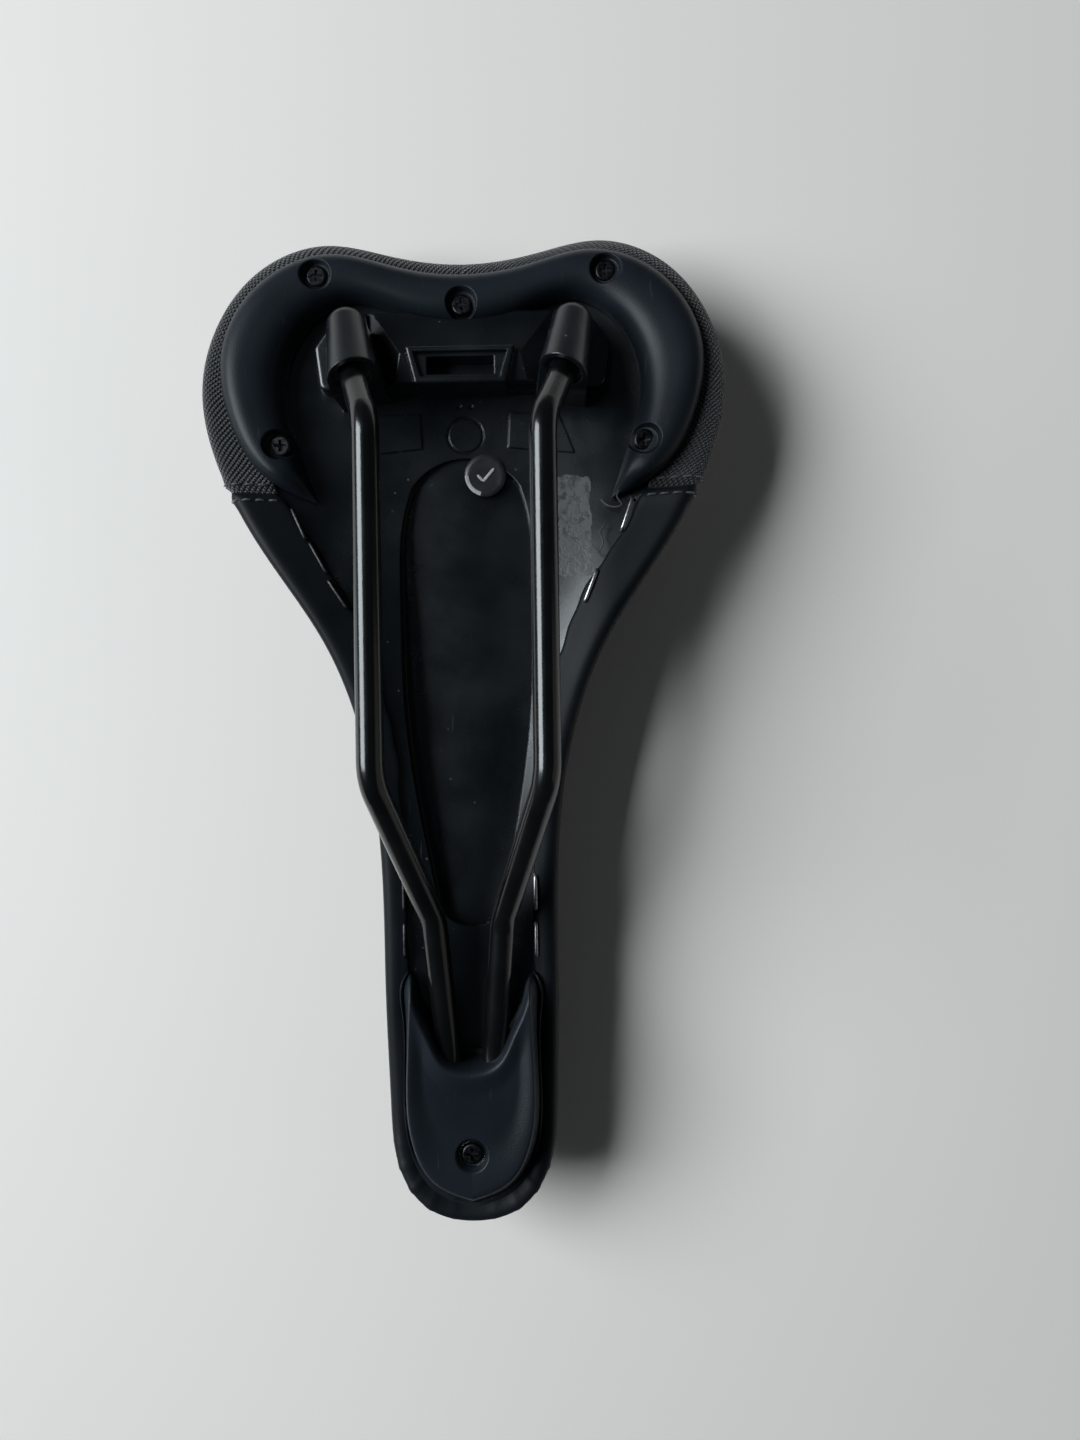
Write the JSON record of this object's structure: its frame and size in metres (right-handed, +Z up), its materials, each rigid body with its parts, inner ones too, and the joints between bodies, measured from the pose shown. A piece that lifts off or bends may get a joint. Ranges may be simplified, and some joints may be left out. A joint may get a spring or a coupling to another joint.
{
  "type": "bicycle saddle",
  "caption": "Padded bicycle saddle with a moulded base, twin steel rails, stapled two-panel cover, and screwed-on guards under the tail and nose.",
  "frame": {"origin": "midway between the two rails, at the middle of their level clamping length, on the rails' centreline height", "axes": "+Z up towards the rider, -Y towards the nose, +X across, along the clamp's axis"},
  "size_m": [0.143, 0.2702, 0.0593],
  "materials": {
    "base_plastic": "moulded, semi-gloss",
    "guard_plastic": "fine satin grain",
    "foam": "moulded polyurethane foam, open skin",
    "smooth_cover": "smooth synthetic leather, low sheen",
    "woven_cover": "coarse coated weave",
    "rail_steel": "black gloss coat",
    "screw_steel": "black oxide, worn at the cross",
    "staple_steel": "bright wire, partly darkened",
    "sticker_film": "dark coated paper with a plain pale tick"
  },
  "bodies": {
    "root": {"base_shell": "base_plastic", "foam_pad": "foam", "cover_front": "smooth_cover", "cover_rear": "woven_cover", "seat_rail": "rail_steel", "rear_guard": "guard_plastic", "rear_guard_screws": "screw_steel", "nose_guard": "guard_plastic", "nose_guard_screw": "screw_steel", "staples_left": "staple_steel", "staples_right": "staple_steel", "staples_nose": "staple_steel", "staples_tail": "staple_steel", "inspection_sticker": "sticker_film"}
  },
  "joints": []
}
